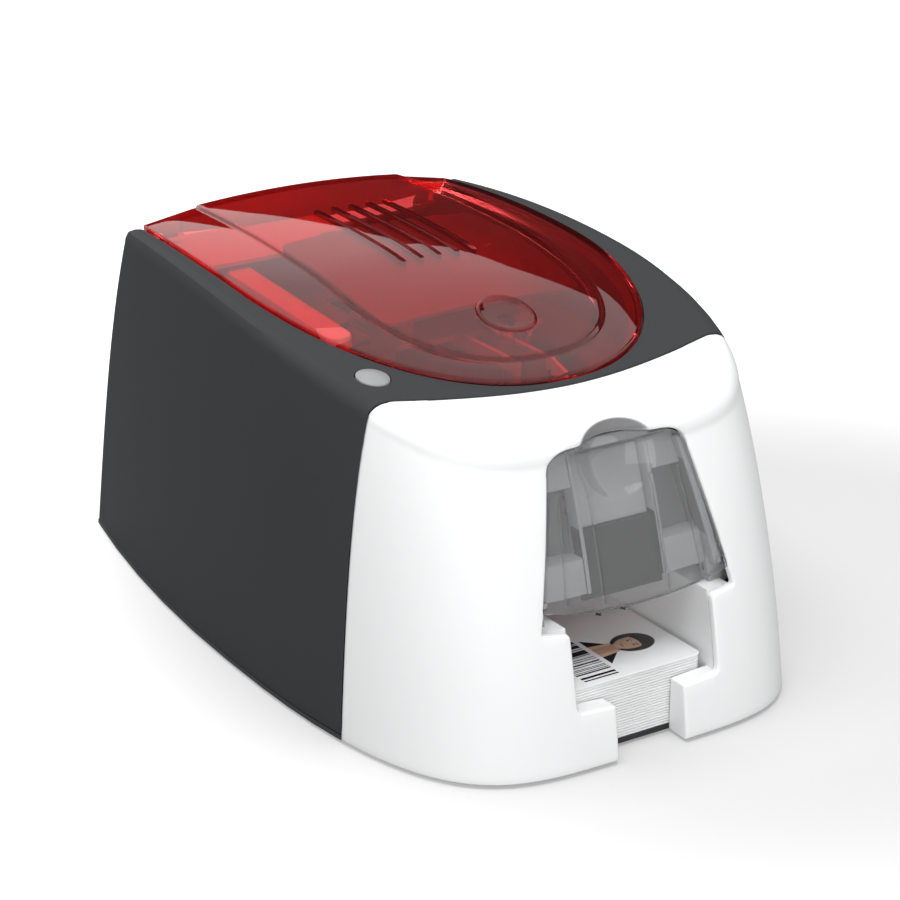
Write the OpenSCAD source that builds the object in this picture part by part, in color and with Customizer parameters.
// Desktop card printer: a moulded casing with a hinged see-through lid, a card pocket with a
// folding window in front, and a roller drive, print head and ribbon cassette inside.
// X is the width, the front faces -Y and Z is up. Modules measure Y from the front edge.

/* [Body] */
// Length of the casing at table height
body_l = 276; // [270:1:284]
// Half the width of the casing at table height
half_w = 88; // [86:0.5:92]
// How far the sides lean in per 100 mm of height
side_lean = 2.75; // [2:0.05:3.5]
// Distance from the front to the widest place
widest_y = 135; // [132:0.5:138]
// Height of the top face at mid width, 120 mm from the front
top_mid = 124.4; // [124:0.1:127]
// Thickness of the moulded walls
wall = 2.4; // [2:0.1:2.6]
// Rounding where the sides meet the top
edge_r = 4; // [3.4:0.1:4.6]
// Rounding where the front meets the top
nose_r = 9; // [8:0.2:10]
// Height of the casing's lower edge above the table
base_z = 1.2; // [1:0.1:1.6]
// Thickness of the base plate
base_t = 1.8; // [1.5:0.1:2.2]
// Clearance between fixed mouldings that meet
fit_gap = 0.2; // [0.1:0.05:0.3]
// Clearance between a moving piece and the moulding round it
move_gap = 0.6; // [0.4:0.05:0.8]
// Distance from the front to the joint between cover and casing, at mid width
seam_mid_y = 51.4; // [50:0.2:52]
// The same distance at the sides
seam_side_y = 60.4; // [59:0.2:61]

/* [Lid] */
// Half the width of the lid
lid_hw = 69.8; // [69:0.1:70.4]
// Distance from the front to the tip of the lid
lid_nose_y = 55; // [54.5:0.1:56]
// Distance from the rear foot to the lid's rear edge
lid_tail_gap = 40; // [39:0.2:41]
// How far the lid stands above the casing
lid_proud = 1.6; // [1.2:0.1:2]
// Thickness of the lid
lid_t = 2.2; // [1.8:0.1:2.6]
// Half the width of the raised tongue on the lid
tongue_hw = 45.6; // [44:0.2:47]
// Distance from the front to the tip of the tongue
tongue_nose_y = 67; // [66:0.5:69]
// Height of the tongue above the casing at its rear
tongue_h = 8; // [7:0.2:9]
// Extra height of the tongue at mid width
tongue_crown = 4.3; // [3.5:0.1:4.6]
// Number of air slots in the tongue
slot_n = 5; // [3:1:5]
// Distance between air slots
slot_pitch = 7.3; // [6.5:0.1:8]
// Width of an air slot
slot_w = 2; // [1.5:0.1:2.6]
// Length of an air slot
slot_l = 62; // [50:1:64]
// Radius of the round release button
release_r = 10.2; // [9:0.1:11]
// Distance of the hinge from the lid's rear edge
hinge_back = 4.5; // [4:0.1:5]
// Height of the lid's hinge
hinge_z = 123.5; // [123:0.1:124]

/* [Front] */
// Half the width of the card pocket
pocket_hw = 28.4; // [28:0.1:29]
// Half the width of the thumb notch
notch_hw = 13.6; // [12:0.1:15]
// Height of the lip in front of the cards
lip_z = 20.5; // [19:0.1:22]
// Height of the pocket's shoulders
shoulder_z = 47.8; // [47:0.1:48.5]
// Half the width of the window at its foot
window_hw = 36.4; // [35.5:0.1:37]
// Half the width of the window near its top
window_top_hw = 27.3; // [26.5:0.1:28]
// Height of the window's top edge
window_top_z = 101.8; // [101:0.1:102.4]
// Height of the window's pivot
window_axis_z = 56; // [55.5:0.1:56.5]
// Radius of the finger dish
dish_r = 20; // [19:0.5:21]
// Radius of the lit control button
control_r = 5.7; // [5:0.1:6]
// Control button's distance left of the middle
control_x = 61; // [60:0.2:62]
// Control button's distance from the front
control_y = 75.5; // [75:0.5:77]

/* [Cards] */
// Width of a card
card_w = 54; // [53.9:0.01:54.1]
// Length of a card
card_l = 85.6; // [85.5:0.01:85.7]
// Thickness of a card
card_t = 0.76; // [0.7:0.01:0.8]
// Thickness of a card with the air under it, as the loose pile lies
card_step = 0.99; // [0.9:0.01:1.04]
// Number of finished cards in the pocket
card_n = 22; // [5:1:22]
// Distance of the cards' front edge from the front
card_front_y = 10.3; // [10:0.1:11]
// Height at which cards travel
path_z = 50; // [49.5:0.1:50.5]

/* [Drive] */
// Gear module
gear_m = 0.8; // [0.7:0.05:0.8]
// Teeth on the print roller's gear
platen_teeth = 28; // [26:2:28]
// Teeth on the other roller gears and on two of the idlers
roller_teeth = 18; // [16:2:18]
// Teeth on the rear idler
rear_idler_teeth = 24; // [22:2:26]
// Teeth on the motor pinion
pinion_teeth = 12; // [10:2:12]
// Teeth on the ribbon gear
ribbon_teeth = 24; // [20:2:26]
// Width of the gears
gear_w = 5; // [4:0.5:5.5]
// Radius of the print roller
platen_r = 8; // [7.6:0.1:8.4]
// Radius of the shafts
shaft_r = 3; // [2.5:0.1:3.2]
// Running clearance of a shaft in its bush
run_gap = 0.05; // [0.02:0.01:0.09]
// Half the distance between the side plates
plate_x = 34; // [33.5:0.1:34.5]
// Thickness of the side plates
plate_t = 2; // [1.5:0.1:2.2]
// Distance from the card pocket to the exit roller
exit_back = 5.9; // [5.7:0.1:6.4]
// Radius of the unused ribbon roll
supply_r = 13.5; // [8:0.5:14]
// Radius of the used ribbon roll
takeup_r = 9; // [7:0.5:10]

/* [Hidden] */

// Curve of the body
side_lean_top = 1.35;
side_bow = 0.00071;
nose_lean = 0.104;
nose_sweep = 0.00146;
tail_lean = 0.295;
tail_angle = atan(tail_lean);
corner_across = 4.69;
corner_along = 2.67;
corner_change = 0.48;
// Points of an outline: across the tail, along a side, and from the widest place to the tip
tail_n = 4;
side_n = 5;
front_n = 14;
half_n = tail_n + side_n + front_n;
ring_n = 2 * half_n;
rise = [0, 0.14, 0.32, 0.52, 0.72, 0.88, 1];
crease = [30, 60, 90];
inward = [0.3, 0.6, 0.85];
round_n = 48;
fine_n = 32;
big = 400;

function sq(v) = v * v;
function mix_of(a, b, f) = a + (b - a) * f;
function plan_a(z) = half_w - side_lean * z / 100 - side_lean_top * pow(z / 100, 4);
function nose_y(z) = nose_lean * z + nose_sweep * z * z;
function tail_y(z) = body_l - tail_lean * z;
function side_x(y, z) = plan_a(z) - side_bow * sq(y - widest_y);
function top_z(x, y) = let(u = (y - 120) / 100, v2 = sq(x / 70))
    top_mid + 11.24 * u - 7.03 * u * u + (2.91 + 1.5 * u) * v2;

// Angle round the front for point i of an outline: 90 at the widest place, 0 at the tip
function front_angle(i) = 90 * (1 - (i - tail_n - side_n) / front_n);

// Point i of the body's outline at height z, moved in by d
function body_xy(i, z, d) =
    i < tail_n ? [(side_x(tail_y(z) - d, z) - d) * i / tail_n, tail_y(z) - d]
    : i < tail_n + side_n ?
        let(y = mix_of(tail_y(z) - d, widest_y, (i - tail_n) / side_n)) [side_x(y, z) - d, y]
    : let(t = front_angle(i)) [
        (plan_a(z) - d) * pow(sin(t), 2 / corner_across),
        widest_y - (widest_y - nose_y(z) - d) * pow(cos(t), 2 / (corner_along - corner_change * z / 100))
    ];
// Front of the body at a place across its width
function front_y(x, z) = widest_y - (widest_y - nose_y(z))
    * pow(1 - pow(x / plan_a(z), corner_across), 1 / (corner_along - corner_change * z / 100));
function crease_r(i, d) =
    let(c = i < tail_n + side_n ? 0 : sq(cos(front_angle(i)))) max(1, mix_of(edge_r, nose_r, c) - d);

// Point of the side wall: f runs from the foot at height foot to the crease
function climb(i, f, d, foot, z) = let(p = body_xy(i, z, d))
    foot + f * (top_z(p[0], p[1]) - d - crease_r(i, d) - foot);
function wall_pt(i, f, d, foot) =
    let(z1 = climb(i, f, d, foot, 118 * f), z2 = climb(i, f, d, foot, z1), z3 = climb(i, f, d, foot, z2),
        p = body_xy(i, z3, d)) [p[0], p[1], z3];
// Point of the rounded crease at angle a, then of the top face shrunk towards the middle by g
function crease_pt(i, a, d, foot) =
    let(r = crease_r(i, d), q = wall_pt(i, 1, d, foot), p = body_xy(i, q[2], d + r * (1 - cos(a))))
    [p[0], p[1], top_z(p[0], p[1]) - d - r * (1 - sin(a))];
function top_pt(i, g, d, foot) =
    let(q = crease_pt(i, 90, d, foot), x = q[0] * (1 - g), y = mix_of(q[1], widest_y, g / 2))
    [x, y, top_z(x, y) - d];

// Whole ring from the points of its right half, which run from the tail to the tip
function whole(half) = concat(half, [for (i = [half_n - 1:-1:1]) [-half[i][0], half[i][1], half[i][2]]]);
function body_rings(d, foot) = concat(
    [for (f = rise) whole([for (i = [0:half_n]) wall_pt(i, f, d, foot)])],
    [for (a = crease) whole([for (i = [0:half_n]) crease_pt(i, a, d, foot)])],
    [for (g = inward) whole([for (i = [0:half_n]) top_pt(i, g, d, foot)])]
);
function turned_round(list) = [for (i = [len(list) - 1:-1:0]) list[i]];

// Skin through a stack of rings, closed across its first and last ring
module skin(rings) {
    last = len(rings) - 1;
    sides = [for (j = [0:last - 1]) for (i = [0:ring_n - 1])
        let(a = j * ring_n + i, b = j * ring_n + (i + 1) % ring_n)
        each [[a, b, b + ring_n], [a, b + ring_n, a + ring_n]]];
    // A cap fans over the straight tail, then crosses from side to side
    c = tail_n + 1;
    cap = concat(
        [[0, c, ring_n - c], [half_n - 1, half_n, half_n + 1]],
        [for (i = [0:tail_n - 1]) each [[i, i + 1, c], [ring_n - c, ring_n - i - 1, (ring_n - i) % ring_n]]],
        [for (i = [c:half_n - 2]) each [[i, i + 1, ring_n - i - 1], [i, ring_n - i - 1, ring_n - i]]]
    );
    top_cap = [for (t = cap) [for (k = t) k + last * ring_n]];
    foot_cap = [for (t = cap) [t[2], t[1], t[0]]];
    polyhedron([for (r = rings) each r], concat(sides, foot_cap, top_cap));
}
module body_solid(d, foot) { skin(body_rings(d, foot)); }
module body_shell(foot) { skin(concat(turned_round(body_rings(wall, foot)), body_rings(0, foot))); }

module from_front() { translate([0, -body_l / 2, 0]) children(); }
module box(x0, x1, y0, y1, z0, z1) { translate([x0, y0, z0]) cube([x1 - x0, y1 - y0, z1 - z0]); }
module wide_box(hw, y0, y1, z0, z1) { box(-hw, hw, y0, y1, z0, z1); }
module both_sides() {
    children();
    mirror([1, 0, 0]) children();
}
// Cylinder along X, and a shape drawn in (y, z) thickened along X
module rod(x0, x1, y, z, r) {
    translate([x0, y, z]) rotate([0, 90, 0]) cylinder(h = x1 - x0, r = r, $fn = round_n);
}
module side_cut(x0, x1) {
    translate([x0, 0, 0]) rotate([90, 0, 90]) linear_extrude(x1 - x0) children();
}
// Shape drawn in (x, z) pushed along Y
module front_cut(y0, y1) { translate([0, y1, 0]) rotate([90, 0, 0]) linear_extrude(y1 - y0) children(); }
// Frame of the leaning rear face: Y points out of it and Z runs up it
module on_tail() { translate([0, body_l, 0]) rotate([tail_angle, 0, 0]) children(); }

// Joint between the white cover and the grey casing, as a plan curve
function seam_y(x) = min(seam_side_y, seam_mid_y + 14 * sq(x / 70) - 3.35 * sq(sq(x / 70)));
module seam_prism(offset_y) {
    seam_half = half_w + 10;
    linear_extrude(2 * big, center = true) polygon(concat(
        [[seam_half, -20], [-seam_half, -20]],
        [for (k = [-24:24]) let(x = seam_half * k / 24) [x, seam_y(x) + offset_y]]
    ));
}

// Outline with a straight tail, bowed sides and a rounded tip, as the lid and its tongue have
function tip_outline(hw, mid_y, tip_y, power, tail_hw, end_y) = [
    for (i = [0:half_n])
        i < tail_n ? [tail_hw * i / tail_n, end_y]
        : i < tail_n + side_n ?
            let(f = (i - tail_n) / side_n) [mix_of(hw, tail_hw, sq(1 - f)), mix_of(end_y, mid_y, f)]
        : let(t = front_angle(i))
            [hw * pow(sin(t), 2 / power), mid_y - (mid_y - tip_y) * pow(cos(t), 2 / power)]
];
lid_tail_y = body_l - lid_tail_gap;
hinge_y = lid_tail_y - hinge_back;
lid_mid_y = 152;
lid_tail_hw = lid_hw - 3.8;
function lid_outline(off, end_y) =
    tip_outline(lid_hw + off, lid_mid_y, lid_nose_y - off, 2.2, lid_tail_hw + off, end_y);
tongue_mid_y = 125;
function tongue_outline(off, end_y) =
    tip_outline(tongue_hw + off, tongue_mid_y, tongue_nose_y - off, 2.3, tongue_hw - 1.6 + off, end_y);
// Height of the tongue's shoulder above the casing, and of its crowned top face
function ramp(f) = let(c = min(1, max(0, f))) c * c * (3 - 2 * c);
function shoulder_h(y) = mix_of(3, tongue_h, ramp((y - tongue_nose_y) / 80));
function crown_h(x) = tongue_crown * (1 - sq(min(1, abs(x) / tongue_hw)));
function tongue_z(x, y) = top_z(x, y) + shoulder_h(y) + crown_h(x) * ramp((y - tongue_nose_y + 12) / 60);
function plate_ring(outline, up) = whole([for (p = outline) [p[0], p[1], top_z(p[0], p[1]) + up]]);
// Ring on the band beside the tongue, which climbs from the lid's edge to just under the tongue's shoulder
tongue_step = 1;
function band_ring(outline, down) =
    whole([for (p = outline) [p[0], p[1], top_z(p[0], p[1]) + shoulder_h(p[1]) - tongue_step - down]]);
function flat_ring(outline, z) = whole([for (p = outline) [p[0], p[1], z]]);
function tongue_ring(outline, down) = whole([for (p = outline) [p[0], p[1], tongue_z(p[0], p[1]) - down]]);
function shrunk(outline, g) = [for (p = outline) [p[0] * (1 - g), mix_of(p[1], lid_mid_y, g / 2)]];

// Height of the lid's outer edge and of the flange it rests over
lid_skirt = 2.6;
liner_drop = 3;
liner_t = 1.6;
liner_floor_z = 100;

// Involute gear
pressure = 20;
tooth_slack = 0.12;
function inv_angle(r, rb) = let(a = acos(min(1, rb / r))) tan(a) * 180 / PI - a;
function gear_points(teeth) =
    let(rp = gear_m * teeth / 2, rb = rp * cos(pressure), ra = rp + 0.95 * gear_m, rr = rp - 1.2 * gear_m,
        half_tooth = 90 / teeth - tooth_slack / 2 / rp * 180 / PI + inv_angle(rp, rb),
        start = max(rb, rr),
        flank = [for (k = [0:4]) let(r = mix_of(start, ra, k / 4)) [r, half_tooth - inv_angle(r, rb)]],
        root = start > rr ? [[rr, half_tooth]] : [])
    [for (t = [0:teeth - 1]) let(c = 360 * t / teeth)
        each concat(
            [for (p = concat(root, flank)) [p[0] * cos(c - p[1]), p[0] * sin(c - p[1])]],
            [for (p = turned_round(concat(root, flank))) [p[0] * cos(c + p[1]), p[0] * sin(c + p[1])]]
        )];
// Turn that puts gear 2 in mesh with gear 1, where phi points from centre 1 to centre 2
function mesh_turn(phi, turn1, n1, n2) = phi + 180 - (0.5 - (phi - turn1) * n1 / 360) * 360 / n2;
function pitch_r(n) = gear_m * n / 2;
function bearing_of(p, q) = atan2(q[1] - p[1], q[0] - p[0]);
// Third corner of a triangle over p and q, at distances dp and dq, on the low side
function below(p, q, dp, dq) =
    let(d = norm(q - p), along = (dp * dp - dq * dq + d * d) / (2 * d), up = sqrt(dp * dp - along * along),
        e = (q - p) / d) p + along * e + up * [e[1], -e[0]];

// Card bins
bin_wall = 2;
hopper_end_y = card_front_y + card_l + 1.2;
roller_r = platen_r * roller_teeth / platen_teeth;
// Centres in (y, z)
platen_y = hopper_end_y + exit_back + 21;
platen_c = [platen_y, path_z - platen_r];
exit_c = [platen_y - 21, path_z - roller_r];
feed_c = [platen_y + 26, path_z - roller_r];
pick_c = [platen_y + 54, path_z - roller_r];
small_gap = pitch_r(platen_teeth) + pitch_r(roller_teeth);
pair_gap = 2 * pitch_r(roller_teeth);
rear_gap = pitch_r(roller_teeth) + pitch_r(rear_idler_teeth);
front_idler_c = below(exit_c, platen_c, pair_gap, small_gap);
middle_idler_c = below(platen_c, feed_c, small_gap, pair_gap);
rear_idler_c = below(feed_c, pick_c, rear_gap, rear_gap);
pinion_bearing = -74;
motor_gap = pitch_r(rear_idler_teeth) + pitch_r(pinion_teeth);
motor_c = rear_idler_c + motor_gap * [cos(pinion_bearing), sin(pinion_bearing)];
// Turn of each gear about its shaft, meshed one after another from the print roller's gear
platen_turn = 0;
front_idler_turn = mesh_turn(bearing_of(platen_c, front_idler_c), platen_turn, platen_teeth, roller_teeth);
exit_turn = mesh_turn(bearing_of(front_idler_c, exit_c), front_idler_turn, roller_teeth, roller_teeth);
middle_idler_turn = mesh_turn(bearing_of(platen_c, middle_idler_c), platen_turn, platen_teeth, roller_teeth);
feed_turn = mesh_turn(bearing_of(middle_idler_c, feed_c), middle_idler_turn, roller_teeth, roller_teeth);
rear_idler_turn = mesh_turn(bearing_of(feed_c, rear_idler_c), feed_turn, roller_teeth, rear_idler_teeth);
pick_turn = mesh_turn(bearing_of(rear_idler_c, pick_c), rear_idler_turn, rear_idler_teeth, roller_teeth);
pinion_turn = mesh_turn(pinion_bearing, rear_idler_turn, rear_idler_teeth, pinion_teeth);
// Ribbon spools and their drive
takeup_c = [platen_y - 42, path_z + 34];
supply_c = [platen_y + 22.5, path_z + 40];
ribbon_bearing = -35;
ribbon_gap = pitch_r(ribbon_teeth) + pitch_r(pinion_teeth);
ribbon_motor_c = takeup_c + ribbon_gap * [cos(ribbon_bearing), sin(ribbon_bearing)];
ribbon_pinion_turn = mesh_turn(ribbon_bearing, 0, ribbon_teeth, pinion_teeth);

// Lip in front of the cards
lip_back = card_front_y - 0.5;
lip_side = 3;
// Rear face: heights run up the slope
rear_hw = half_w - 22;
panel_foot = 6;
ear_x = rear_hw - 5.8;
hinge_pin_r = 2;
plate_out = plate_x + plate_t;
gear_x = plate_out + 2.5;
gear_end = gear_x + gear_w;
bush_r = shaft_r + 1.2;
post_r = 2;
base_top = base_z + base_t;
casing_foot = base_top + 0.4;
feeder_y0 = platen_y + 39.4;
feeder_y1 = feeder_y0 + card_l + 0.6;
feeder_top_z = path_z + 29;
feeder_hw = card_w / 2 + 0.6;
door_hw = feeder_hw + 3;
door_z0 = path_z + 2;
door_z1 = feeder_top_z + 6;
gauge_hw = 5;
// Board, its standoffs and its sockets
board_z = base_top + 5;
board_top = board_z + 1.6;
plate_end = body_l - 24;
board_x = [16 - half_w, -plate_out - 11];
board_y = [platen_y + 22, body_l - 14];
standoff_x = [board_x[0] + 4, board_x[1] - 4];
standoff_y = [board_y[0] + 6, board_y[1] - 26];
socket_x = [-plate_out - 21, -plate_out - 7];
socket_y = [plate_end, body_l - 5];
socket_hw = [6, 4.5];
socket_h = 10.6;
jack_r = 2.75;
// Spool and cassette sizes
spool_r = 5;
cheek_x = 30.6;
cheek_t = 1.6;
stub_r = 3;
guide_r = 1.5;
rear_guide_c = [platen_y + 14, path_z + 8];
front_guide_c = [platen_y - 18, path_z + 12];
film_t = 0.25;
film_w = 52;
// Print head
head_gap = 0.6;
head_z = path_z + film_t + 2 * head_gap;
head_hw = 29;
frame_plate_z = 112;
// Window
pin_r = 1.5;
pin_l = 2.8;
window_axis_y = front_y(window_hw + pin_l + 0.6, window_axis_z) + pin_r + 0.8;
window_t = 2.1;
window_gap = 0.5;

// Finger dish over the window's top edge, hollowed by a sphere
dish_mouth = 13.4;
dish_c = [0, nose_y(window_top_z) - sqrt(sq(dish_r) - sq(dish_mouth)), window_top_z - 0.3];
// Pinch rollers over the exit and feed rollers
pinch_r = 4;
pinch_z = path_z + 0.4 + pinch_r;
pinch_shaft_r = 1.5;
// Short rollers come in pairs, from near to far
tyre_near = 8;
tyre_far = 24;
// Motors
motor_side = 28;
motor_shaft_r = 1.5;
bracket_x = gear_end + 2;
bracket_t = 1.5;
// Bay under the lid
liner_end_y = lid_tail_y - 14;
bay_y = [platen_y - 46, platen_y + 52];
strike_x = [6, 8];
strike_z = 104;
barrel_r = 5;
// Release button and the lever under it
release_y = 90;
release_top = tongue_z(0, release_y) + 0.6;
release_t = 3;
lever_c = [release_y - 14, frame_plate_z + 1];
hook_y = lever_c[0] - 11;
lever_pin_r = 1.5;
arm_in = 26.9;
control_z = top_z(-control_x, control_y);
control_board_z = control_z - 12;
flange_x = plate_out + 5;
flange_y = [platen_y - 12, plate_end - 8];
frame_screw = [24, platen_y - 8, platen_y + 18];

module gear(teeth, c, turn, bore_r) {
    translate([gear_x, c[0], c[1]]) rotate([90, 0, 90]) difference() {
        linear_extrude(gear_w) rotate(turn) polygon(gear_points(teeth));
        if (bore_r > 0) translate([0, 0, -1]) cylinder(h = gear_w + 2, r = bore_r, $fn = round_n);
    }
}

// ---- Casing ----

module base_tray() {
    color("#26272a") from_front() {
        difference() {
            union() {
                skin([for (z = [base_z, base_top]) whole([for (i = [0:half_n])
                    let(p = body_xy(i, z, wall + fit_gap)) [p[0], p[1], z]])]);
                difference() {
                    skin([for (z = [base_z, base_top]) whole([for (i = [0:half_n])
                        let(p = body_xy(i, z, 0.3)) [p[0], p[1], z]])]);
                    seam_prism(fit_gap);
                }
            }
            wide_box(pocket_hw + lip_side + fit_gap, -5, lip_back + fit_gap, 0, 10);
        }
        // Standoffs under the board
        for (x = standoff_x, y = standoff_y) translate([x, y, base_top]) difference() {
            cylinder(h = 5, r = 3, $fn = fine_n);
            cylinder(h = 6, r = 1.2, $fn = fine_n);
        }
    }
}

module rubber_feet() {
    color("#151515") from_front() for (x = [-62, 62], y = [42, 240])
        translate([x, y, 0]) cylinder(h = base_z, r = 6, $fn = round_n);
}

// Screws through the side plates' flanges
module base_screws() {
    head_z = base_top + plate_t;
    color("silver") from_front() both_sides() for (y = flange_y) translate([flange_x, y, 0]) {
        translate([0, 0, head_z]) cylinder(h = 1.6, r = 2.6, $fn = fine_n);
        translate([0, 0, base_top + 0.2]) cylinder(h = plate_t, r = 1.2, $fn = fine_n);
    }
}

module main_casing() {
    color("#46484b") from_front() difference() {
        body_shell(casing_foot);
        seam_prism(fit_gap / 2);
        // Lid opening, running out through the rear
        translate([0, 0, 90]) linear_extrude(80) {
            polygon([for (p = flat_ring(lid_outline(move_gap, lid_tail_y), 0)) [p[0], p[1]]]);
            translate([-lid_tail_hw - 2 * move_gap, lid_tail_y - 5])
                square([2 * lid_tail_hw + 4 * move_gap, big]);
        }
        // Rear opening
        on_tail() wide_box(rear_hw, -20, 20, panel_foot, 160);
        // Hole of the control button
        translate([-control_x, control_y, 90]) cylinder(h = 50, r = control_r + 0.35, $fn = round_n);
    }
}

module window_shape(grow) {
    foot_z = window_axis_z - 1.5;
    polygon([
        for (s = [-1, 1]) each let(
            side = [
                [window_hw + grow, foot_z - grow], [window_hw - 0.3 + grow, foot_z + 1.5],
                [window_top_hw + grow, window_top_z - 4.6],
                [window_top_hw - 1.2 + grow, window_top_z - 2.4 + grow],
                [window_top_hw - 3.4, window_top_z - 0.7 + grow], [window_top_hw - 7.5, window_top_z + grow]
            ],
            lip = [for (k = [1:5]) let(f = 1 - k / 6) [window_hw * f, foot_z - grow - 3.5 * (1 - f * f)]]
        ) s < 0 ? [for (p = concat(turned_round(side), lip)) [-p[0], p[1]]]
                : concat([[0, foot_z - grow - 3.5]], turned_round(lip), side)
    ]);
}

module dish_ball(r) { translate(dish_c) sphere(r = r, $fn = round_n); }

module notch_shape() {
    flare = 5;
    polygon([
        for (s = [-1, 1]) each let(p = [
            [notch_hw, -10], [notch_hw, card_front_y - 7], [notch_hw + flare, card_front_y + 2]
        ]) s > 0 ? p : [for (q = turned_round(p)) [-q[0], q[1]]]
    ]);
}

module front_cover() {
    shelf_w = 38.4;
    color("white") from_front() difference() {
        union() {
            intersection() {
                body_shell(base_z);
                seam_prism(-fit_gap / 2);
            }
            // Thick lip in front of the cards
            intersection() {
                body_solid(0, base_z);
                wide_box(pocket_hw + lip_side, -5, lip_back, base_z, lip_z);
            }
            // Back of the finger dish
            intersection() {
                dish_ball(dish_r + 1.6);
                body_solid(wall / 2, base_z);
                wide_box(16, 0, 60, window_top_z - 1, 120);
            }
            // Ears that hold the window's pins
            both_sides() intersection() {
                rod(window_hw + window_gap, window_hw + 4.4, window_axis_y, window_axis_z, pin_r + 2);
                body_solid(wall / 2, base_z);
            }
        }
        // Pocket and notch
        wide_box(pocket_hw, -10, 30, lip_z, shoulder_z + 1);
        translate([0, 0, -5]) linear_extrude(lip_z + 5.5) notch_shape();
        // Window opening with its shoulders
        front_cut(-10, 40) window_shape(window_gap);
        front_cut(-10, 24) polygon([
            [-shelf_w, shoulder_z], [shelf_w, shoulder_z],
            [window_hw + window_gap, window_axis_z - 1.4], [-window_hw - window_gap, window_axis_z - 1.4]
        ]);
        dish_ball(dish_r);
        // Holes for the window's pins
        both_sides()
            rod(window_hw - 1, window_hw + pin_l + 0.4, window_axis_y, window_axis_z, pin_r + run_gap);
    }
}

module rear_panel() {
    panel_top = 120;
    cut_foot = board_top - 0.4;
    cut_top = board_top + socket_h + 2.2;
    color("#3c3e41") from_front() {
        on_tail() difference() {
            wide_box(rear_hw - fit_gap, -wall, 0, panel_foot + fit_gap, panel_top);
            // Opening of the card feeder
            wide_box(door_hw, -10, 10, door_z0, door_z1);
            // Sockets
            for (k = [0, 1]) let(hw = socket_hw[k] + 0.4)
                box(socket_x[k] - hw, socket_x[k] + hw, -10, 10, cut_foot, cut_top);
            // Lock slot
            box(plate_out + 4, plate_out + 11, -10, 10, 24, 27);
            // Air slots
            for (k = [0:5]) wide_box(50, -10, 10, 94 + 3.4 * k, 95.6 + 3.4 * k);
        }
        // Ears of the lid's hinge
        both_sides() difference() {
            side_cut(ear_x, ear_x + 2.4) hull() {
                translate([hinge_y, hinge_z]) circle(r = 4.4, $fn = fine_n);
                polygon([
                    [hinge_y - 2, 106], [tail_y(106) - wall - 0.1, 106], [tail_y(116) - wall - 0.1, 116]
                ]);
            }
            rod(ear_x - 1, ear_x + 4, hinge_y, hinge_z, hinge_pin_r + 0.02);
        }
    }
}

module feeder_cover() {
    in_hw = door_hw - 0.4;
    color("#3c3e41") from_front() on_tail() difference() {
        union() {
            wide_box(in_hw, -wall, 0, door_z0 + 0.4 + wall / 2, door_z1 - 0.4);
            rod(-in_hw, in_hw, -wall / 2, door_z0 + 0.4 + wall / 2, wall / 2);
        }
        // Finger grip
        rod(-13, 13, 6, door_z1 - 9, 7);
    }
}

// ---- Card bins ----

module output_hopper() {
    in_hw = pocket_hw;
    out_hw = in_hw + bin_wall;
    floor_z = base_top;
    color("whitesmoke") from_front() difference() {
        intersection() {
            body_solid(wall + fit_gap, base_z + 0.2);
            union() {
                difference() {
                    wide_box(out_hw, 0, hopper_end_y + bin_wall, floor_z, shoulder_z - 1.8);
                    wide_box(in_hw, -1, hopper_end_y, floor_z - 1, big);
                }
                // Shoulders beside the pocket
                both_sides() box(in_hw, 38, 0, 62, shoulder_z - 1.8, shoulder_z);
            }
        }
        // Room for the exit roller behind the low rear wall
        wide_box(in_hw - 1, hopper_end_y - 1, big, exit_c[1] - roller_r - 1.5, big);
        // Room for the lip of the cover
        wide_box(pocket_hw + lip_side + fit_gap, -5, lip_back + fit_gap, 0, lip_z + fit_gap);
    }
}

module window_bezel() {
    back_y = 57.5;
    color("gainsboro") from_front() difference() {
        intersection() {
            body_solid(wall + 5, base_z);
            wide_box(38, 10, back_y, shoulder_z + fit_gap, window_top_z + 2);
        }
        // Centre channel, with the way out for the cards below
        wide_box(16, 0, back_y - bin_wall, shoulder_z - 5, window_top_z - 4);
        wide_box(pocket_hw, 0, back_y + 1, shoulder_z - 5, 74);
        // Side pockets between the upper step and the lower blocks
        both_sides() box(18, 36, 0, back_y - 16, 74, 88);
        both_sides() box(pocket_hw - 1, 36, 0, 26, 62, 75);
        // Room for the finger dish
        dish_ball(dish_r + 2.2);
    }
}

module card_feeder() {
    out_hw = feeder_hw + bin_wall;
    color("whitesmoke") from_front() difference() {
        union() {
            wide_box(out_hw, feeder_y0 - bin_wall, feeder_y1, path_z - bin_wall, feeder_top_z);
            // Ears that reach the side plates
            both_sides()
                box(out_hw - 1, plate_x, feeder_y0 + 37, feeder_y0 + 51, path_z - bin_wall, path_z + 6);
        }
        wide_box(feeder_hw, feeder_y0, feeder_y1 + 1, path_z, feeder_top_z + 1);
        // Slot through which one card leaves
        wide_box(feeder_hw, feeder_y0 - 5, feeder_y0 + 1, path_z, path_z + 1.4);
        // Window for the pick roller
        wide_box(12, pick_c[0] - 9, pick_c[0] + 9, path_z - 5, path_z + 1);
        // Slope under the leaning rear face
        on_tail() wide_box(big / 2, -wall - fit_gap, big, -10, big);
        // Guide of the gauge
        box(-gauge_hw - 0.3, gauge_hw + 0.3, feeder_y0 - 5, feeder_y0 - bin_wall + 1.2, path_z - 5, big);
    }
}

module card_gauge() {
    color("#232325") from_front() {
        box(-gauge_hw, gauge_hw, feeder_y0 - bin_wall - 0.6, feeder_y0 - bin_wall + 0.9, path_z + 2, 108);
        box(-gauge_hw, gauge_hw, feeder_y0 - bin_wall - 0.6, feeder_y0 + 30, 108, 110);
        translate([0, feeder_y0 + 26, 110]) cylinder(h = 7, r = 8, $fn = round_n);
    }
}

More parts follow.
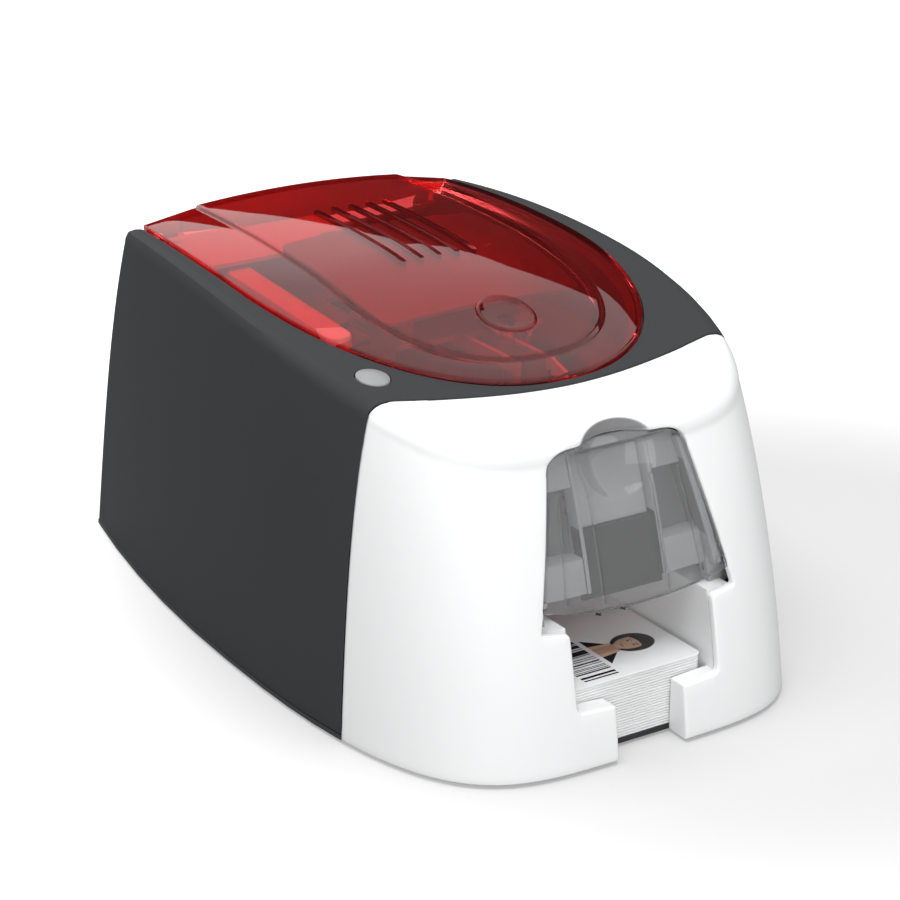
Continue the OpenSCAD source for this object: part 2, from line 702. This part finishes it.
module card_stack() {
    color("white") from_front() for (k = [0:card_n - 1])
        wide_box(card_w / 2, card_front_y, card_front_y + card_l, base_top + k * card_step,
            base_top + k * card_step + card_t);
}
module printed_card() {
    z = base_top + card_n * card_step;
    color("ivory") from_front() wide_box(card_w / 2, card_front_y, card_front_y + card_l, z, z + card_t);
}

// ---- Inner frame ----

// Outline of a side plate, with a raised arm under each spool
module plate_shape() {
    arm = 12;
    polygon([
        [exit_c[0] - 3, base_top], [plate_end, base_top], [plate_end, path_z - 4],
        [pick_c[0] + 36, path_z + 8],
        supply_c + [arm + 4, -24], supply_c + [arm, 9], supply_c + [-arm, 9], supply_c + [-arm - 2, -20],
        takeup_c + [arm + 16, -16], takeup_c + [arm, 9], takeup_c + [-arm, 9], takeup_c + [-arm - 3, -8],
        takeup_c + [-arm, -24], [exit_c[0] - 5, path_z + 6]
    ]);
}
shaft_centres = [platen_c, exit_c, feed_c, pick_c];
module chassis_plate() {
    difference() {
        union() {
            side_cut(plate_x, plate_out) plate_shape();
            // Foot flange
            box(plate_out, plate_out + 10, flange_y[0] - 8, flange_y[1] + 6, base_top, base_top + plate_t);
        }
        for (c = shaft_centres) rod(plate_x - 1, plate_out + 1, c[0], c[1], bush_r);
        for (y = flange_y) translate([flange_x, y, 0]) cylinder(h = 10, r = 1.3, $fn = fine_n);
        for (c = [takeup_c, supply_c]) rod(plate_x - 1, plate_out + 1, c[0], c[1], stub_r + 1.2);
    }
}
module chassis_left() { color("#9a9da1") from_front() mirror([1, 0, 0]) chassis_plate(); }
module chassis_right() {
    color("#9a9da1") from_front() {
        difference() {
            chassis_plate();
            rod(plate_x - 1, plate_out + 1, motor_c[0], motor_c[1], 5);
        }
        // Posts that carry the idlers
        for (c = [front_idler_c, middle_idler_c, rear_idler_c])
            rod(plate_out, gear_end + 0.8, c[0], c[1], post_r);
    }
}
module tie_rods() {
    low_z = base_top + 9;
    centres = [
        [platen_y - 16, low_z], [platen_y + 18, low_z], [plate_end - 6, low_z], [pick_c[0] + 28, path_z - 10]
    ];
    color("silver") from_front() for (c = centres) rod(-plate_x, plate_x, c[0], c[1], 2.5);
}
module shaft_bushes() {
    color("#c9a227") from_front() both_sides() for (c = shaft_centres) difference() {
        rod(plate_x - 0.6, plate_out + 0.6, c[0], c[1], bush_r - 0.02);
        rod(plate_x - 2, plate_out + 2, c[0], c[1], shaft_r + run_gap);
    }
}

// ---- Rollers and gears ----

module tyre(c, r, x0, x1) {
    difference() {
        rod(x0, x1, c[0], c[1], r);
        rod(x0 - 1, x1 + 1, c[0], c[1], shaft_r + 0.02);
    }
}
module geared_shaft(c, teeth, turn) {
    rod(-plate_out - 1.5, gear_x, c[0], c[1], shaft_r);
    gear(teeth, c, turn, 0);
}
module platen_roller() { color("#202020") from_front() tyre(platen_c, platen_r, -28.5, 28.5); }
module platen_shaft() {
    color("silver") from_front() rod(-plate_out - 1.5, gear_end + 1.5, platen_c[0], platen_c[1], shaft_r);
}
module platen_gear() {
    color("ivory") from_front() gear(platen_teeth, platen_c, platen_turn, shaft_r + 0.02);
}
module roller_pair(c) { both_sides() tyre(c, roller_r, tyre_near, tyre_far); }
module exit_roller() { color("#303030") from_front() roller_pair(exit_c); }
module exit_gear() { color("ivory") from_front() geared_shaft(exit_c, roller_teeth, exit_turn); }
module feed_roller() { color("#303030") from_front() roller_pair(feed_c); }
module feed_gear() { color("ivory") from_front() geared_shaft(feed_c, roller_teeth, feed_turn); }
module pick_roller() { color("#303030") from_front() tyre(pick_c, roller_r, -10, 10); }
module pick_gear() { color("ivory") from_front() geared_shaft(pick_c, roller_teeth, pick_turn); }
module front_idler() {
    color("ivory") from_front() gear(roller_teeth, front_idler_c, front_idler_turn, post_r + run_gap);
}
module middle_idler() {
    color("ivory") from_front() gear(roller_teeth, middle_idler_c, middle_idler_turn, post_r + run_gap);
}
module rear_idler() {
    color("ivory") from_front() gear(rear_idler_teeth, rear_idler_c, rear_idler_turn, post_r + run_gap);
}

module pinch(c_y) {
    both_sides() rod(tyre_near, tyre_far, c_y, pinch_z, pinch_r);
    rod(-plate_x + 0.4, plate_x - 0.4, c_y, pinch_z, pinch_shaft_r);
}
module exit_pinch() { color("#d8d8d8") from_front() pinch(exit_c[0]); }
module cleaning_roller() { color("#4a7fb0") from_front() pinch(feed_c[0]); }

module drive_motor() {
    h = motor_side / 2;
    color("#2e2e30") from_front() difference() {
        union() {
            box(plate_x - 34, plate_x, motor_c[0] - h, motor_c[0] + h, motor_c[1] - h, motor_c[1] + h);
            rod(plate_x, plate_out - 0.1, motor_c[0], motor_c[1], 4.8);
        }
        rod(plate_x - 20, plate_out + 1, motor_c[0], motor_c[1], motor_shaft_r + run_gap);
    }
}
module motor_pinion() {
    color("#c9a227") from_front() {
        gear(pinion_teeth, motor_c, pinion_turn, 0);
        rod(plate_x - 18, gear_x, motor_c[0], motor_c[1], motor_shaft_r);
    }
}
module motor_bracket() {
    c = ribbon_motor_c;
    color("#9a9da1") from_front() {
        difference() {
            box(bracket_x, bracket_x + bracket_t, c[0] - 14, c[0] + 14, c[1] - 14, c[1] + 10);
            rod(bracket_x - 1, bracket_x + 3, c[0], c[1], 4);
        }
        for (dy = [-11, 11]) rod(plate_out, bracket_x, c[0] + dy, c[1] - 11, 2);
    }
}
module ribbon_motor() {
    c = ribbon_motor_c;
    color("#b9bcc0") from_front() difference() {
        union() {
            rod(bracket_x + bracket_t, bracket_x + 24, c[0], c[1], 10);
            rod(bracket_x + 0.2, bracket_x + bracket_t + 0.1, c[0], c[1], 3.8);
        }
        rod(bracket_x - 1, bracket_x + 14, c[0], c[1], 1 + run_gap);
    }
}
module ribbon_pinion() {
    color("#c9a227") from_front() {
        gear(pinion_teeth, ribbon_motor_c, ribbon_pinion_turn, 0);
        rod(gear_end, bracket_x + 12, ribbon_motor_c[0], ribbon_motor_c[1], 1);
    }
}

// ---- Ribbon ----

module core(c) {
    rod(-cheek_x + 0.4, cheek_x - 0.4, c[0], c[1], spool_r);
    rod(-plate_out, plate_out, c[0], c[1], stub_r);
}
module roll(c, r) {
    difference() {
        rod(-film_w / 2, film_w / 2, c[0], c[1], r);
        rod(-film_w, film_w, c[0], c[1], spool_r + 0.02);
    }
}
module supply_core() { color("gainsboro") from_front() core(supply_c); }
module supply_ribbon() { color("#7a2c6a") from_front() roll(supply_c, supply_r); }
module takeup_core() { color("gainsboro") from_front() core(takeup_c); }
module takeup_ribbon() { color("#2b2b30") from_front() roll(takeup_c, takeup_r); }
module ribbon_gear() {
    color("ivory") from_front() {
        gear(ribbon_teeth, takeup_c, 0, 0);
        rod(plate_out + 0.01, gear_x, takeup_c[0], takeup_c[1], stub_r);
    }
}
module cassette_frame() {
    color("#d9dadc") from_front() {
        both_sides() difference() {
            side_cut(cheek_x, cheek_x + cheek_t) difference() {
                hull() {
                    translate(takeup_c) circle(r = 12, $fn = fine_n);
                    translate(front_guide_c) circle(r = 4, $fn = fine_n);
                    translate(rear_guide_c) circle(r = 4, $fn = fine_n);
                    translate(supply_c) circle(r = 14.4, $fn = fine_n);
                }
                // Room for the print head
                translate(platen_c) polygon([
                    [-20, 78], [-14, 32], [-11, 26], [-4, 21], [9, 21], [13, 32], [16, 78]
                ]);
            }
            for (c = [takeup_c, supply_c])
                rod(cheek_x - 1, cheek_x + cheek_t + 1, c[0], c[1], stub_r + run_gap);
        }
        for (c = [front_guide_c, rear_guide_c]) rod(-cheek_x, cheek_x, c[0], c[1], guide_r);
        wide_box(cheek_x, supply_c[0] + 11, supply_c[0] + 13, supply_c[1] + 9, supply_c[1] + 11);
        wide_box(cheek_x, takeup_c[0] - 11, takeup_c[0] - 9, takeup_c[1] + 4, takeup_c[1] + 8);
    }
}
// Strip of even thickness along points in (y, z)
function side_of(p, q) = let(d = (q - p) / norm(q - p)) [-d[1], d[0]];
module strip(points, t) {
    n = len(points) - 1;
    turns = [for (k = [0:n]) let(
        a = side_of(points[max(0, k - 1)], points[max(1, k)]),
        b = side_of(points[min(n - 1, k)], points[min(n, k + 1)]),
        m = a + b) m / (m * m) * 2];
    polygon(concat(
        [for (k = [0:n]) points[k] + turns[k] * t / 2],
        [for (k = [n:-1:0]) points[k] - turns[k] * t / 2]
    ));
}
module ribbon_film() {
    low_z = path_z + head_gap + film_t / 2;
    off = guide_r + 0.3;
    color("#3a2a38") from_front() side_cut(-film_w / 2, film_w / 2) strip([
        takeup_c + (takeup_r + 0.4) * [0.72, -0.7], front_guide_c + off * [-0.5, -0.87],
        [platen_y - 7, low_z], [platen_y + 7, low_z], rear_guide_c + off * [0.64, -0.77],
        rear_guide_c + off * [1.05, 0], supply_c + (supply_r + 0.4) * [-0.48, -0.877]
    ], film_t);
}

// ---- Bay under the lid ----

module bay_liner() {
    o_in = -3.4;
    bay_hw = plate_out + 1;
    rail_y = [lid_nose_y + 51, lid_nose_y + 141];
    color("gainsboro") from_front() difference() {
        union() {
            skin([
                flat_ring(shrunk(lid_outline(o_in, liner_end_y - 2), 0.6), liner_floor_z),
                flat_ring(lid_outline(o_in, liner_end_y - 2), liner_floor_z),
                plate_ring(lid_outline(o_in, liner_end_y - 2), -liner_drop - liner_t),
                plate_ring(lid_outline(2, liner_end_y), -liner_drop - liner_t),
                plate_ring(lid_outline(2, liner_end_y), -liner_drop),
                plate_ring(lid_outline(o_in - liner_t, liner_end_y - 2 - liner_t), -liner_drop),
                flat_ring(lid_outline(o_in - liner_t, liner_end_y - 2 - liner_t), liner_floor_z + liner_t),
                flat_ring(shrunk(lid_outline(o_in - liner_t, liner_end_y - 2 - liner_t), 0.6),
                    liner_floor_z + liner_t)
            ]);
            // Long rail on the left of the bay
            translate([-lid_hw + 14.8, 0, 0]) hull() for (y = rail_y) translate([0, y, liner_floor_z + 1])
                cylinder(h = 15, r = 5, $fn = fine_n);
        }
        // Bay for the cassette and print head
        wide_box(bay_hw, bay_y[0], bay_y[1], 90, 140);
        // Room for the latch's hook
        wide_box(strike_x[1] + 1, hook_y, bay_y[0] + 1, 90, 140);
        // Way through for the gauge
        wide_box(gauge_hw + 3.4, feeder_y0 + 16.6, feeder_y0 + 40.6, 90, 140);
        wide_box(gauge_hw + 0.5, feeder_y0 - 8, feeder_y0 + 22, 90, 140);
    }
}

// Bar behind the latch's hook, on two arms from the front of the bay
module latch_strike() {
    bar_y = [lever_c[0] - 0.8, lever_c[0] + 1.6];
    foot_y = [hook_y - 4, hook_y];
    color("silver") from_front() {
        both_sides() {
            box(strike_x[0], strike_x[1], foot_y[0], foot_y[1], liner_floor_z + liner_t, strike_z + 2);
            box(strike_x[0], strike_x[1], foot_y[1], bar_y[1], strike_z, strike_z + 2);
        }
        wide_box(strike_x[0], bar_y[0], bar_y[1], strike_z, strike_z + 2);
    }
}

module button_board() {
    board_t = 1.6;
    switch_h = 3.4;
    color("#1d6b3c") from_front() translate([-control_x, control_y, control_board_z]) {
        difference() {
            translate([-9, -9, -board_t]) cube([15, 20, board_t]);
            translate([-6, 8, -3]) cylinder(h = 4, r = 1.2, $fn = fine_n);
        }
        translate([-3, -3, 0]) cube([6, 6, switch_h]);
    }
}
module control_button() {
    dome_r = 16;
    stem_z = control_board_z + 4.3;
    color("silver") from_front() translate([-control_x, control_y, 0]) {
        intersection() {
            translate([0, 0, control_z - 4]) cylinder(h = 10, r = control_r, $fn = round_n);
            translate([0, 0, control_z + 1.2 - dome_r]) sphere(r = dome_r, $fn = round_n);
        }
        // Flange that keeps the button under the casing
        translate([0, 0, control_z - 5.7]) cylinder(h = 1.8, r = control_r + 0.9, $fn = round_n);
        translate([0, 0, stem_z]) cylinder(h = 3, r = 2, $fn = round_n);
    }
}

module main_board() {
    color("#1d6b3c") from_front() difference() {
        union() {
            box(board_x[0], board_x[1], board_y[0], board_y[1], board_z, board_top);
            box(board_x[1] - 1, -plate_out - 1, board_y[1] - 10, board_y[1], board_z, board_top);
        }
        for (x = standoff_x, y = standoff_y) translate([x, y, 0]) cylinder(h = 20, r = 1.3, $fn = fine_n);
    }
}
module socket_block(k) {
    translate([socket_x[k], 0, board_top]) wide_box(socket_hw[k], socket_y[0], socket_y[1], 0, socket_h);
}
module board_sockets() {
    color("#303235") from_front() {
        difference() {
            socket_block(0);
            translate([socket_x[0], 0, board_top]) wide_box(4, socket_y[0] + 8, body_l, 1.4, 9);
        }
        difference() {
            socket_block(1);
            translate([socket_x[1], body_l, board_top + 5.3]) rotate([90, 0, 0])
                cylinder(h = 14, r = jack_r, $fn = round_n);
        }
        // Chips
        for (f = [0.17, 0.4, 0.6]) let(y = mix_of(board_y[0], board_y[1], f))
            box(board_x[0] + 6, board_x[1] - 7, y, y + 14, board_top, board_top + 2);
    }
}
module card_sensors() {
    color("#202022") from_front() for (y = [platen_y - 12, platen_y + 14]) both_sides()
        box(feeder_hw + 1, plate_x, y, y + 6, path_z - 8, path_z + 2);
}

// ---- Lid ----

module lid_hinge_pins() {
    color("silver") from_front() both_sides() rod(ear_x - 10.2, ear_x + 1.8, hinge_y, hinge_z, hinge_pin_r);
}
module lid_cover() {
    under = lid_proud - lid_t;
    slot_y = [release_y + 43, release_y + 43 + slot_l];
    barrel_x = [ear_x - 8.2, ear_x - 1.2];
    // Share of the band's climb over the barrels
    climb = (lid_tail_hw - barrel_x[1]) / (lid_tail_hw - tongue_hw);
    web_top = top_z(barrel_x[1], hinge_y) - 0.4
        + mix_of(lid_proud, shoulder_h(hinge_y) - tongue_step, climb);
    color("firebrick", 0.6) from_front() difference() {
        union() {
            skin([
                tongue_ring(shrunk(tongue_outline(-3, lid_tail_y - 4), 0.8), lid_t),
                tongue_ring(shrunk(tongue_outline(-3, lid_tail_y - 4), 0.4), lid_t),
                tongue_ring(tongue_outline(-3, lid_tail_y - 3.4), lid_t),
                band_ring(tongue_outline(-0.4, lid_tail_y - 3), lid_t),
                plate_ring(lid_outline(-2, lid_tail_y - 2.2), under),
                plate_ring(lid_outline(-2, lid_tail_y - 2.2), -lid_skirt),
                plate_ring(lid_outline(0, lid_tail_y), -lid_skirt),
                plate_ring(lid_outline(0, lid_tail_y), lid_proud - 0.8),
                plate_ring(lid_outline(-0.8, lid_tail_y - 0.4), lid_proud),
                band_ring(tongue_outline(1.2, lid_tail_y - 0.8), 0),
                tongue_ring(tongue_outline(0.4, lid_tail_y - 1), 0.3),
                tongue_ring(tongue_outline(-1.2, lid_tail_y - 1.8), 0),
                tongue_ring(shrunk(tongue_outline(-2, lid_tail_y - 2), 0.4), 0),
                tongue_ring(shrunk(tongue_outline(-2, lid_tail_y - 2), 0.8), 0)
            ]);
            // Hinge barrels under the rear corners
            both_sides() {
                rod(barrel_x[0], barrel_x[1], hinge_y, hinge_z, barrel_r);
                box(barrel_x[0], barrel_x[1], hinge_y - 1, hinge_y + 2, hinge_z, web_top);
            }
        }
        both_sides() rod(barrel_x[0] - 1, barrel_x[1] + 1, hinge_y, hinge_z, hinge_pin_r + run_gap);
        // Air slots
        for (k = [0:slot_n - 1]) let(x = (k - (slot_n - 1) / 2) * slot_pitch) {
            box(x - slot_w / 2, x + slot_w / 2, slot_y[0], slot_y[1], 110, 160);
            for (y = slot_y) translate([x, y, 110]) cylinder(h = 50, r = slot_w / 2, $fn = fine_n);
        }
        // Hole of the release button
        translate([0, release_y, 110]) cylinder(h = 50, r = release_r + 0.4, $fn = round_n);
    }
}
module release_button() {
    stem_z = lever_c[1] + 2.3;
    color("firebrick", 0.7) from_front() translate([0, release_y, 0]) {
        translate([0, 0, release_top - release_t]) cylinder(h = release_t, r = release_r, $fn = round_n);
        translate([0, 0, stem_z]) cylinder(h = release_top - release_t - stem_z + 0.1, r = 3, $fn = round_n);
    }
}
// Bell crank: the button presses the rear arm and the hook in front swings off the strike
module latch_lever() {
    color("#232325") from_front() difference() {
        side_cut(-4, 4) translate(lever_c) polygon([
            [18, 2], [18, 0], [4, -2.6], [0.5, -3.8], [-2.6, -4], [-3, -9.4], [-1.1, -9.8], [-1.1, -11.2],
            [-3.5, -12.6], [-5.5, -11.6], [-5.5, -3], [-3.5, 2], [0, 3.6], [4, 2.6], [6, 2]
        ]);
        rod(-5, 5, lever_c[0], lever_c[1], lever_pin_r + run_gap);
    }
}
module lid_frame() {
    arm_x = 27;
    boss_r = 3;
    x = frame_screw[0];
    cheek_in = 5;
    plate_y = [platen_y - 12, platen_y + 22];
    color("#7d8085") from_front() {
        difference() {
            union() {
                wide_box(arm_x + 3, plate_y[0], plate_y[1], frame_plate_z, frame_plate_z + 2);
                both_sides() box(arm_x, arm_x + 2, platen_y - 6, platen_y + 8, path_z + 22, frame_plate_z);
                // Bosses under the lid
                both_sides() for (y = [frame_screw[1], frame_screw[2]]) translate([x, y, frame_plate_z])
                    cylinder(h = tongue_z(x + boss_r, y - boss_r) - lid_t - frame_plate_z - 0.4, r = boss_r,
                        $fn = fine_n);
            }
            both_sides() for (y = [frame_screw[1], frame_screw[2]]) translate([x, y, frame_plate_z - 1])
                cylinder(h = 14, r = 1.2, $fn = fine_n);
        }
        // Pivot pin of the latch lever, held by two cheeks below the lid
        rod(-cheek_in - 2, cheek_in + 2, lever_c[0], lever_c[1], lever_pin_r);
        both_sides() box(cheek_in, cheek_in + 2, lever_c[0] - 3, plate_y[0] + 0.5,
            lever_c[1] - 2.5, lever_c[1] + 2.5);
    }
}
module print_head() {
    color("#c8ccd0") from_front() {
        wide_box(head_hw - 0.3, platen_y - 6, platen_y + 6, head_z + 1.4, head_z + 5);
        rod(-film_w / 2, film_w / 2, platen_y, head_z + 1.8, 1.8);
    }
}
module head_heatsink() {
    fin_pitch = 4.6;
    color("#aeb3b8") from_front() difference() {
        wide_box(arm_in, platen_y - 6, platen_y + 6, head_z + 5, path_z + 34);
        for (k = [-5:5]) translate([k * fin_pitch, 0, 0])
            wide_box(1.2, platen_y - 7, platen_y + 7, head_z + 11, path_z + 40);
    }
}
// ---- Front window ----

module hopper_window() {
    color("#9da0a3", 0.6) from_front() {
        difference() {
            union() {
                intersection() {
                    difference() {
                        body_solid(-0.3, base_z);
                        body_solid(window_t - 0.3, base_z);
                    }
                    front_cut(-10, 40) window_shape(0);
                }
                // Underside of the finger dish
                intersection() {
                    dish_ball(dish_r + 1.5);
                    body_solid(0.5, base_z);
                    front_cut(-10, 60) window_shape(0);
                }
                // Pins at the lower corners
                both_sides() rod(window_hw - 2.4, window_hw + pin_l, window_axis_y, window_axis_z, pin_r);
            }
            dish_ball(dish_r);
        }
    }
}

base_tray();
main_casing();
front_cover();
rear_panel();
output_hopper();
window_bezel();
bay_liner();
chassis_left();
chassis_right();
tie_rods();
shaft_bushes();
card_feeder();
drive_motor();
ribbon_motor();
motor_bracket();
main_board();
board_sockets();
button_board();
card_sensors();
rubber_feet();
base_screws();
latch_strike();
lid_hinge_pins();
cassette_frame();
ribbon_film();
feeder_cover();
card_gauge();
lid_cover();
lid_frame();
print_head();
head_heatsink();
release_button();
latch_lever();
hopper_window();
control_button();
card_stack();
printed_card();
platen_roller();
platen_shaft();
platen_gear();
exit_roller();
exit_gear();
feed_roller();
feed_gear();
pick_roller();
pick_gear();
front_idler();
middle_idler();
rear_idler();
motor_pinion();
exit_pinch();
cleaning_roller();
supply_core();
supply_ribbon();
takeup_core();
takeup_ribbon();
ribbon_gear();
ribbon_pinion();
